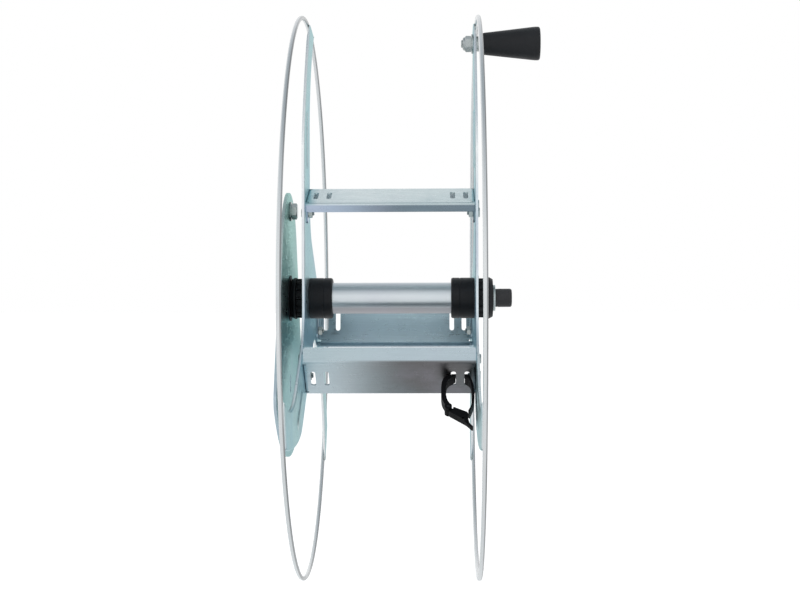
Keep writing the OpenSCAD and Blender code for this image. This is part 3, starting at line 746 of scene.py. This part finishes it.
def weld_mesh():
    """Weld spots between the tips of the arms and the hoop wire."""
    bm = bmesh.new()
    spots = settings().wire.weld_spots
    across, along, radial = WELD_SIZE
    for k in range(3):
        for i in range(spots):
            tip = TIP_FRONT + 4 + (TIP_BACK - TIP_FRONT - 8) * i / (spots - 1)
            angle = math.degrees(math.asin(tip / HOOP_R)) + 120 * k
            ball = bmesh.ops.create_uvsphere(bm, u_segments=18, v_segments=10, radius=1.0)["verts"]
            for v in ball:
                x, y, z = v.co
                lump = 1 + 0.10 * math.sin(5 * x + 3 * i + k) * math.sin(4 * y + 2 * z + i)
                spread = (x * along * lump, HOOP_R - WIRE_R + z * radial * lump)
                v.co = (BACK_X - 0.45 + y * across * lump, *turned(spread, angle))
    return bm


# Bars

class Fold:
    """A bend between a flat middle and a side of a sheet, with its sizes along the blank."""

    def __init__(self, size, turn, bend):
        self.turn, self.bend = turn, bend
        self.flat = size / 2 - bend * math.tan(turn / 2)
        self.length = turn * (bend - SHEET / 2)

    def reach(self, depth):
        """How far along the blank a side's edge lies, for a depth from the sharp corner."""
        return self.flat + self.length + depth - self.bend * math.tan(self.turn / 2)

    def folded(self, s, depth):
        """Place along and below the outer face of a point that far along the blank."""
        over, way, r = abs(s) - self.flat, 1 if s >= 0 else -1, self.bend - depth
        if over <= 0:
            return s, -depth
        a = min(over / self.length, 1.0) * self.turn
        rest = max(over - self.length, 0.0)
        along = self.flat + r * math.sin(a) + rest * math.cos(a)
        return way * along, -self.bend + r * math.cos(a) - rest * math.sin(a)


def bar_pattern(bm, ends, sides):
    """The flat blank of a bar, with tabs, slots and corner reliefs, cut where it is folded."""
    tab, end, half = ends.reach(TAB_H), BAR_L / 2, TAB_W / 2
    relief, side = ends.flat - 0.6, sides.flat - 0.6

    def quarter(depth):
        """Points from the tab's end to the middle of a side, for positive u and v."""
        points = arc((tab - 4, half - 4), 4, 0, 90, 6) + [(relief + 0.9, half)]
        points += arc((relief + 0.9, half + 0.9), 0.9, 270, 180, 4)[1:]
        points += [(relief, side - 0.5), (relief + 0.5, side), (end, side)]
        return points + arc((end - 2.5, depth - 2.5), 2.5, 0, 90, 5)

    a, b = quarter(sides.reach(BAR_TRAIL)), quarter(sides.reach(BAR_LEAD))
    outline = a + [(-u, v) for u, v in a[::-1]] + [(-u, -v) for u, v in b] + [(u, -v) for u, v in b[::-1]]
    loops = [outline]
    for s in (-1, 1):
        for first in (SLOT_FIRST, SLOT_FIRST + SLOT_PITCH):
            loops.append(slot_outline((s * (end - first), 0), SLOT_L, SLOT_W, 90, 8))
        for t in (-1, 1):
            loops.append(circle((s * ends.reach(BOLT_DROP), t * BOLT_SIDE), SMALL_HOLE, 24))
    filled(bm, [[bm.verts.new((u, v, 0)) for u, v in loop] for loop in loops])
    for i in range(7):
        for s in (-1, 1):
            for normal, fold in (((1, 0, 0), ends), ((0, 1, 0), sides)):
                at = [c * s * (fold.flat + fold.length * i / 6) for c in normal]
                geometry = bm.verts[:] + bm.edges[:] + bm.faces[:]
                bmesh.ops.bisect_plane(bm, geom=geometry, dist=0.001, plane_co=at, plane_no=normal)


def bar_mesh(angle):
    """A bar folded out of its flat blank and turned to its place."""
    bend = settings().sheet.bend_radius / MM
    ends, sides = Fold(BAR_L, math.pi / 2, bend), Fold(BAR_W, BAR_BEND, bend)
    flat = bmesh.new()
    bar_pattern(flat, ends, sides)

    def placed(u, v, depth):
        x, t, drop = u, v, 0.0
        if abs(v) <= TAB_W / 2 + 0.2:
            x, drop = ends.folded(u, depth)
        else:
            t, drop = sides.folded(v, depth)
        return (MIDDLE_X + x, *turned((t + BAR_SHIFT, BAR_R + drop), angle))

    bm = bmesh.new()
    top, low = ({v: bm.verts.new(placed(v.co.x, v.co.y, d)) for v in flat.verts} for d in (0.0, SHEET))
    for face in flat.faces:
        bm.faces.new([top[v] for v in face.verts])
        bm.faces.new([low[v] for v in reversed(face.verts)])
    for edge in flat.edges:
        if len(edge.link_faces) == 1:
            a, b = edge.verts
            bm.faces.new([top[a], top[b], low[b], low[a]])
    flat.free()
    return bm


# Hoops, hub and studio

def hoop_mesh(x):
    """A wire hoop with its ground butt weld."""
    bm = bmesh.new()
    rings = []
    for k in range(360):
        a = math.radians(k)
        off = (k - SEAM_ANGLE + 180) % 360 - 180
        seam = math.exp(-(off / SEAM_WIDTH) ** 2)
        ring = []
        for i in range(20):
            b = 2 * math.pi * i / 20
            r = WIRE_R + SEAM_HEIGHT * seam * (1 + 0.5 * math.sin(3 * b))
            out = HOOP_R + r * math.cos(b)
            ring.append(bm.verts.new((x + r * math.sin(b), out * math.sin(a), out * math.cos(a))))
        rings.append(ring)
    chained(bm, rings, closed=True)
    return bm


def socket_mesh():
    """A hub socket with its groove."""
    start, end, r = FACE_X, FACE_X + SOCKET_L, SOCKET_R
    floor, stop = start + TUBE_END, start + 5.3
    corners = [
        (start, SPIGOT_R + 0.05, 0.2), (start, r, 0.6),
        (end - 8.6, r, 0.15), (end - 8.2, r - 0.35, 0.1), (end - 7.8, r - 0.35, 0.1), (end - 7.4, r, 0.15),
        (end, r, 2.6), (end, TUBE_R + 0.05, 0.4),
        (floor, TUBE_R + 0.05, 0), (floor, 7.0, 0), (stop, 7.0, 0), (stop, SPIGOT_R + 0.05, 0),
    ]
    return revolved(parted(soft_section(corners, 5), r - 0.15, 0.10, 0.25, 0.0006), 128)


def bearing_mesh():
    """A bearing with its ribbed neck, its collar and its nose."""
    ribs = settings().plastic.neck_ribs
    bore, collar_x, spigot_x = 6.08, BACK_X - 3, FACE_X + 5

    def neck(a):
        """The neck with its ribs standing out."""
        off = abs(((a / (2 * math.pi) * ribs + 0.5) % 1.0) - 0.5) / ribs * 2 * math.pi * (NECK_R + 1)
        return NECK_R + 2.0 * (1 - ease((off - 0.75) / 0.5))

    nose_end = NOSE_X + 5.0
    nose = [
        (NOSE_X, bore, 0), (NOSE_X, NOSE_R - 1.8, 0.5), (nose_end - 1.8, NOSE_R, 0.6),
        (nose_end, NOSE_R, 0.35), (nose_end, NECK_R, 0.3),
    ]
    collar = [
        (collar_x, NECK_R, 0.2), (collar_x, COLLAR_R, 0.5), (BACK_X, COLLAR_R, 0.35),
        (BACK_X, SPIGOT_R, 0.2), (spigot_x, SPIGOT_R, 0.6), (spigot_x, bore, 0.3),
    ]
    rows = soft_section(nose, 4) + [(x, neck) for x in (nose_end + 0.5, 12.0, collar_x - 0.5)]
    return revolved(rows + soft_section(collar, 4), 216)


def studio_floor(look):
    """A white floor that keeps the shadow, and glows for rays that come from the camera."""
    far, z = 30.0, look.floor_height
    corners = [(-far, -far, z), (far, -far, z), (far, far, z), (-far, far, z)]
    mesh = bpy.data.meshes.new("studio_floor")
    mesh.from_pydata(corners, [], [(0, 1, 2, 3)])
    obj = linked("studio_floor", mesh)
    n = Surface("floor_paint")
    mesh.materials.append(n.material)
    n.tree.nodes.remove(n.shader)
    grain = n.ranged(n.noise(3.0, 2.0), 0.3, 0.7)
    paint = n.mixed(grain, (0.76, 0.76, 0.76), (0.79, 0.79, 0.79))
    diffuse = n.add("BsdfDiffuse", {"Color": paint, "Roughness": 0.6})[0]
    path = n.add("LightPath")
    seen = n.maths("MAXIMUM", path["Is Camera Ray"], path["Is Transmission Ray"])
    seen = n.maths("MAXIMUM", seen, n.maths("MULTIPLY", path["Is Glossy Ray"], 0.5))
    lift = n.maths("MULTIPLY", seen, look.floor_glow)
    glow = n.add("Emission", {"Color": (1, 1, 1, 1), "Strength": lift})[0]
    both = n.add("AddShader", {0: diffuse, 1: glow})[0]
    n.set(n.tree.nodes["Material Output"].inputs["Surface"], both)


def studio_world(look):
    """Even light from all round. Mirroring pieces see a softer room, and the camera sees white."""
    world = bpy.data.worlds.new("studio_world")
    bpy.context.scene.world = world
    world.use_nodes = True
    n = Nodes(world.node_tree)
    n.tree.nodes.clear()
    path = n.add("LightPath")
    up = n.part(n.add("TexCoord")["Generated"], "Z")
    height = n.add("MapRange", {"Value": up, "From Min": -1.0, "From Max": 1.0})["Result"]
    ramp = n.add("ValToRGB", {"Fac": height})["Color"]
    stops = ramp.node.color_ramp.elements
    stops[0].color, stops[1].color = (0.62, 0.65, 0.68, 1), (0.42, 0.46, 0.49, 1)
    for position, *tone in (
        (0.46, 0.92, 0.94, 0.95), (0.60, 1.0, 1.0, 1.0), (0.80, 0.80, 0.82, 0.84), (0.93, 0.56, 0.60, 0.63),
    ):
        stops.new(position).color = (*tone, 1)

    def light(tone, strength):
        return n.add("Background", {"Color": tone, "Strength": strength})[0]

    def chosen(factor, at_none, at_full):
        return n.add("MixShader", {0: factor, 1: at_none, 2: at_full})[0]

    fill, white = light((0.97, 0.99, 1.0, 1), look.fill), light((1, 1, 1, 1), 1.0)
    room = chosen(path["Is Glossy Ray"], fill, light(ramp, 1.0))
    seen = n.maths("MAXIMUM", path["Is Camera Ray"], path["Is Transmission Ray"])
    n.add("OutputWorld", {"Surface": chosen(seen, room, white)})


def studio_lamp(look):
    data = bpy.data.lights.new("studio_key", "AREA")
    data.shape = "SQUARE"
    data.size = 2.4
    data.energy = look.key
    obj = linked("studio_key", data)
    obj.location = (-0.7, -1.9, 1.7)
    obj.rotation_euler = (Vector((0.09, 0.0, 0.0)) - obj.location).to_track_quat("-Z", "Y").to_euler()
    obj.visible_glossy = False


def studio_camera(look):
    data = bpy.data.cameras.new("studio_camera")
    data.sensor_width = 36.0
    data.lens = look.focal / PICTURE_W * data.sensor_width
    yaw, pitch, roll = (math.radians(v) for v in CAMERA_TURN)
    level = Matrix.Rotation(yaw, 4, "Z") @ Matrix.Rotation(math.pi / 2 + pitch, 4, "X")
    place = Matrix.Translation((look.across, -look.distance, 0.0))
    obj = linked("studio_camera", data)
    obj.matrix_world = place @ level @ Matrix.Rotation(roll, 4, "Z")
    bpy.context.scene.camera = obj


# Operators

class HOSEREEL_OT_wall_plate(bpy.types.Operator):
    """Builds the wall plate with its holes, and the top bolt with its washer"""

    bl_idname = "hosereel.wall_plate"
    bl_label = "Wall plate and top bolt"

    def execute(self, context):
        top_r, top_z, low_r, low_z, corner_r, half = 70.0, 27.0, 175.0, 30.0, 14.0, 44.0
        reach = low_r - corner_r
        corner = (reach * math.sin(math.radians(half)), low_z - reach * math.cos(math.radians(half)))
        away = (corner[0], corner[1] - top_z)
        side = math.degrees(math.atan2(away[1], away[0]) + math.acos((top_r - corner_r) / math.hypot(*away)))
        outline = arc((0, top_z), top_r, side, 180 - side, 60)
        outline += arc((-corner[0], corner[1]), corner_r, 180 - side, 270 - half, 14)
        outline += arc((0, low_z), low_r, 270 - half, 270 + half, 60)
        outline += arc(corner, corner_r, -90 + half, side, 14)
        loops = [outline, circle((0, 0), AXLE_HOLE, 48), circle(TOP_BOLT, 4.05, 32)]
        loops += [circle((s * 95.0, -85.0), 4.5, 40) for s in (-1, 1)]
        loops.append(slot_outline((0, -78.0), 17.0, 9.0, 90, 14))
        loops += [slot_outline((s * 42.0, -103.0), 17.0, 7.0, s * 40.0, 14) for s in (-1, 1)]
        bm = bmesh.new()
        faces = [[loop_at(bm, points, x) for points in loops] for x in (0.0, PLATE)]
        for loops in faces:
            filled(bm, loops)
        for a, b in zip(*faces):
            joined(bm, a, b)
        material = finish("plate")
        piece(bm, "wall_plate_sheet", "bracket", ["wall_plate"], "wall_plate_zinc", material, rounding=0.0003)

        x = PLATE + WASHER_T
        rows = [(0.0, 0.0), (0.0, 4.0), (x, 4.0)] + hex_rows(x, x + BIG_HEAD, BIG_HEX) + [(x + BIG_HEAD, 0.0)]
        bm = revolved(rows, 72, TOP_BOLT, closed=False)
        fastener(bm, "wall_plate_top_bolt", "bracket", "top_bolt", sharp=24)
        bm = washer(PLATE, WASHER_T, WASHER_R, BIG_HOLE, TOP_BOLT)
        fastener(bm, "wall_plate_top_washer", "bracket", "top_bolt_washer")
        return {"FINISHED"}


class HOSEREEL_OT_axle(bpy.types.Operator):
    """Finishes the axle and builds its washers and the end knob"""

    bl_idname = "hosereel.axle"
    bl_label = "Axle, washers and end knob"

    def execute(self, context):
        dressed("axle", finish("tube"), 0.0004)
        bm = washer(PLATE, 1.0, 21.0, 6.2)
        piece(bm, "thrust_washer_ring", "bracket", ["thrust_washer"], "hub_plastic", finish("hub"))
        bm = washer(KNOB_X - 2.0, 2.0, 12.0, 6.2)
        fastener(bm, "end_washer_ring", "bracket", "end_washer")
        start, end, r = KNOB_X, KNOB_END, KNOB_R
        corners = [
            (start, AXLE_HOLE, 0), (start, 8.0, 0.4), (start + 1.3, r, 0.2), (start + 1.9, r - 0.25, 0.2),
            (start + 2.5, r, 0.3), (end, r, 2.2), (end, 2.4, 0.3), (end - 0.5, 2.0, 0.2),
        ]
        rows = soft_section(corners, 5) + [(end - 0.5, 0.0), (end - 4.6, 0.0), (end - 4.6, AXLE_HOLE)]
        piece(revolved(rows, 72), "end_knob_cap", "bracket", ["end_knob"], "knob_plastic", finish("knob"))
        return {"FINISHED"}


class HOSEREEL_OT_hoops(bpy.types.Operator):
    """Bends the two wire hoops, each with its ground butt weld"""

    bl_idname = "hosereel.hoops"
    bl_label = "Wire hoops"

    def execute(self, context):
        for name, x in (("inner_hoop", INNER_X), ("outer_hoop", OUTER_X)):
            piece(hoop_mesh(x), name + "_wire", "drum", [name], "hoop_wire", finish("wire"))
        return {"FINISHED"}


class HOSEREEL_OT_flanges(bpy.types.Operator):
    """Presses the two flanges and welds their arms to the hoops"""

    bl_idname = "hosereel.flanges"
    bl_label = "Flanges and welds"

    def execute(self, context):
        for side, far in SIDES:
            name = side + "_flange"
            bm, welds = flange_mesh(crank_hole=far), weld_mesh()
            piece(bm, name + "_sheet", "drum", [name], "sheet_zinc", finish("flange"), far, sharp=50)
            piece(welds, name + "_welds", "drum", [], "sheet_zinc", finish("bolt"), far, sharp=60)
        return {"FINISHED"}


class HOSEREEL_OT_bars(bpy.types.Operator):
    """Folds the three channel bars with their tabs and hose slots"""

    bl_idname = "hosereel.bars"
    bl_label = "Channel bars"

    def execute(self, context):
        edges = {"sharp": 40, "rounding": settings().sheet.deburr, "limit": 62}
        for name, angle in BAR_ANGLES.items():
            bm, material = bar_mesh(angle), bar_zinc(name, angle)
            piece(bm, name + "_channel", "drum", [name], "sheet_zinc", material, **edges)
        return {"FINISHED"}


class HOSEREEL_OT_fasteners(bpy.types.Operator):
    """Turns the bolts and nuts that hold the bars to the flanges"""

    bl_idname = "hosereel.fasteners"
    bl_label = "Bar bolts and nuts"

    def execute(self, context):
        head_x, nut_x = BACK_X - SMALL_HEAD, BACK_X + 2 * SHEET
        nut_end, tip = nut_x + SMALL_NUT, nut_x + SMALL_NUT + 1.5
        shank = SMALL_THREAD[0] / 2
        bolt_rows = [(head_x, 0.0)] + hex_rows(BACK_X, head_x, SMALL_HEX)[::-1]
        bolt_rows += [(BACK_X, shank), (nut_x - 0.4, shank)]
        bolt_rows += thread_rows(nut_x - 0.4, tip, *SMALL_THREAD) + [(tip, 0.0)]
        nut_rows = hex_rows(nut_x, nut_end, SMALL_HEX, both=True)
        nut_rows += [(nut_end, 2.95), (nut_end - 0.4, 2.55), (nut_x + 0.4, 2.55), (nut_x, 2.95)]
        for side, far in SIDES:
            bolts, nuts = bmesh.new(), bmesh.new()
            for place, angle in bolt_places():
                revolved(bolt_rows, 36, place, angle, closed=False, bm=bolts)
                revolved(nut_rows, 36, place, angle, bm=nuts)
            fastener(bolts, side + "_bar_bolt_set", "drum", side + "_bar_bolts", far=far, sharp=28)
            fastener(nuts, side + "_bar_nut_set", "drum", side + "_bar_nuts", far=far, sharp=28)
        return {"FINISHED"}


class HOSEREEL_OT_hub(bpy.types.Operator):
    """Builds the core tube, the two sockets and the two ribbed bearings"""

    bl_idname = "hosereel.hub"
    bl_label = "Tube, sockets and bearings"

    def execute(self, context):
        start, end = FACE_X + TUBE_END, FACE_X + BAR_L - TUBE_END
        corners = [(start, TUBE_BORE, 0.3), (start, TUBE_R, 0.3), (end, TUBE_R, 0.3), (end, TUBE_BORE, 0.3)]
        bm = revolved(soft_section(corners, 3), 96)
        piece(bm, "core_tube_drawn", "drum", ["core_tube"], "tube_steel", finish("tube"))
        for side, far in SIDES:
            for kind, make in (("socket", socket_mesh), ("bearing", bearing_mesh)):
                name = side + "_" + kind
                piece(make(), name + "_moulding", "drum", [name], "hub_plastic", finish("hub"), far, sharp=42)
        return {"FINISHED"}


class HOSEREEL_OT_crank(bpy.types.Operator):
    """Builds the crank bolt, its spacer, washer and locking nut, and the moulded grip"""

    bl_idname = "hosereel.crank"
    bl_label = "Crank"

    def execute(self, context):
        face = OUTER_X - (BACK_X - INNER_X) - SHEET
        nut_end = face - WASHER_T
        nut_x = nut_end - BIG_NUT
        grip_x = face + SHEET + SPACER_L + RUNNING_GAP
        grip_end = grip_x + GRIP_L
        recess = grip_end - RECESS_L
        head_x = recess + RUNNING_GAP
        head_end, tip, bore = head_x + BIG_HEAD, nut_x - 1.5, 4.08

        rows = [(tip, 0.0)] + thread_rows(face + 2, tip, *BIG_THREAD)[::-1] + [(head_x, BIG_THREAD[0] / 2)]
        rows += hex_rows(head_x, head_end, BIG_HEX)
        rows += [(head_end, 5.2), (head_end - 0.3, 4.4), (head_end - 0.3, 0.0)]
        fastener(revolved(rows, 72, CRANK, closed=False), "crank_bolt_turned", "drum", "crank_bolt", sharp=24)
        bm = washer(face + SHEET, SPACER_L, 7.0, BIG_HOLE, CRANK, soft=0.5)
        fastener(bm, "crank_spacer_sleeve", "drum", "crank_spacer")
        bm = washer(nut_end, WASHER_T, WASHER_R, BIG_HOLE, CRANK)
        fastener(bm, "crank_washer_ring", "drum", "crank_washer")

        collar = [(nut_x + 2.0, 6.1, 0.2), (nut_x + 1.0, 6.0, 0.3), (nut_x, 5.2, 0.7)]
        rows = hex_rows(nut_end, nut_x + 2.0, BIG_HEX) + soft_section(collar, 4)[1:]
        rows += [(nut_x, 4.6), (nut_x + 0.5, 4.35), (nut_x + 0.9, 4.05), (nut_end - 0.5, 4.05), (nut_end, 4.6)]
        fastener(revolved(rows, 72, CRANK), "crank_nut_locking", "drum", "crank_nut", sharp=26)

        corners = [
            (grip_x, bore, 0.2), (grip_x, 9.5, 0.3), (grip_x + 0.8, 10.1, 0.4),
            (grip_end - 5.6, 15.28, 0.5), (grip_end - 5.2, 15.12, 0.2), (grip_end - 4.9, 15.35, 0.3),
            (grip_end, 15.38, 4.6), (grip_end, RECESS_R, 0.9),
            (recess, RECESS_R, 0.3), (recess, bore, 0.2),
        ]
        rows = parted(soft_section(corners, 6), 9.4, 0.07, 0.6 + math.pi / 2, 0.0007)
        bm = revolved(rows, 128, CRANK)
        piece(bm, "crank_grip_moulding", "grip", ["crank_grip"], "grip_plastic", finish("grip"), sharp=42)
        return {"FINISHED"}


class HOSEREEL_OT_clip(bpy.types.Operator):
    """Finishes the hose clip: its body, its gate and the hinge pin"""

    bl_idname = "hosereel.clip"
    bl_label = "Hose clip"

    def execute(self, context):
        dressed("clip_body", finish("clip"), 0.00045, 38)
        dressed("clip_gate", finish("clip"), 0.00045, 38)
        dressed("clip_pin", finish("pin"), 0.00025, 38)
        return {"FINISHED"}


class HOSEREEL_OT_studio(bpy.types.Operator):
    """Sets the floor, the world, the lamp and the camera"""

    bl_idname = "hosereel.studio"
    bl_label = "Studio"

    def execute(self, context):
        look = settings().studio
        for part in (studio_floor, studio_world, studio_lamp, studio_camera):
            part(look)
        context.scene.view_settings.view_transform = "Standard"
        return {"FINISHED"}


STEPS = (
    HOSEREEL_OT_studio, HOSEREEL_OT_wall_plate, HOSEREEL_OT_axle, HOSEREEL_OT_hoops, HOSEREEL_OT_flanges,
    HOSEREEL_OT_bars, HOSEREEL_OT_fasteners, HOSEREEL_OT_hub, HOSEREEL_OT_crank, HOSEREEL_OT_clip,
)


class HOSEREEL_PT_sidebar(bpy.types.Panel):
    """Lists the settings and the steps of the hose reel"""

    bl_idname = "HOSEREEL_PT_sidebar"
    bl_label = "Hose reel"
    bl_space_type = "VIEW_3D"
    bl_region_type = "UI"
    bl_category = "Hose reel"

    def draw(self, context):
        reel = context.scene.hose_reel
        for look in (reel.sheet, reel.wire, reel.plastic, reel.studio):
            column = self.layout.box().column()
            for prop in look.bl_rna.properties:
                if prop.identifier not in {"rna_type", "name"}:
                    column.prop(look, prop.identifier)
        for step in STEPS:
            self.layout.operator(step.bl_idname)


CLASSES = (
    SheetSettings, WireSettings, PlasticSettings, StudioSettings, HoseReelSettings,
    *STEPS, HOSEREEL_PT_sidebar,
)


def register():
    for cls in CLASSES:
        bpy.utils.register_class(cls)
    bpy.types.Scene.hose_reel = group(HoseReelSettings, "Hose reel", "Settings of the hose reel")


def unregister():
    del bpy.types.Scene.hose_reel
    for cls in reversed(CLASSES):
        bpy.utils.unregister_class(cls)


def main():
    register()
    for step in STEPS:
        kit, name = step.bl_idname.split(".")
        getattr(getattr(bpy.ops, kit), name)()


if __name__ == "__main__":
    main()
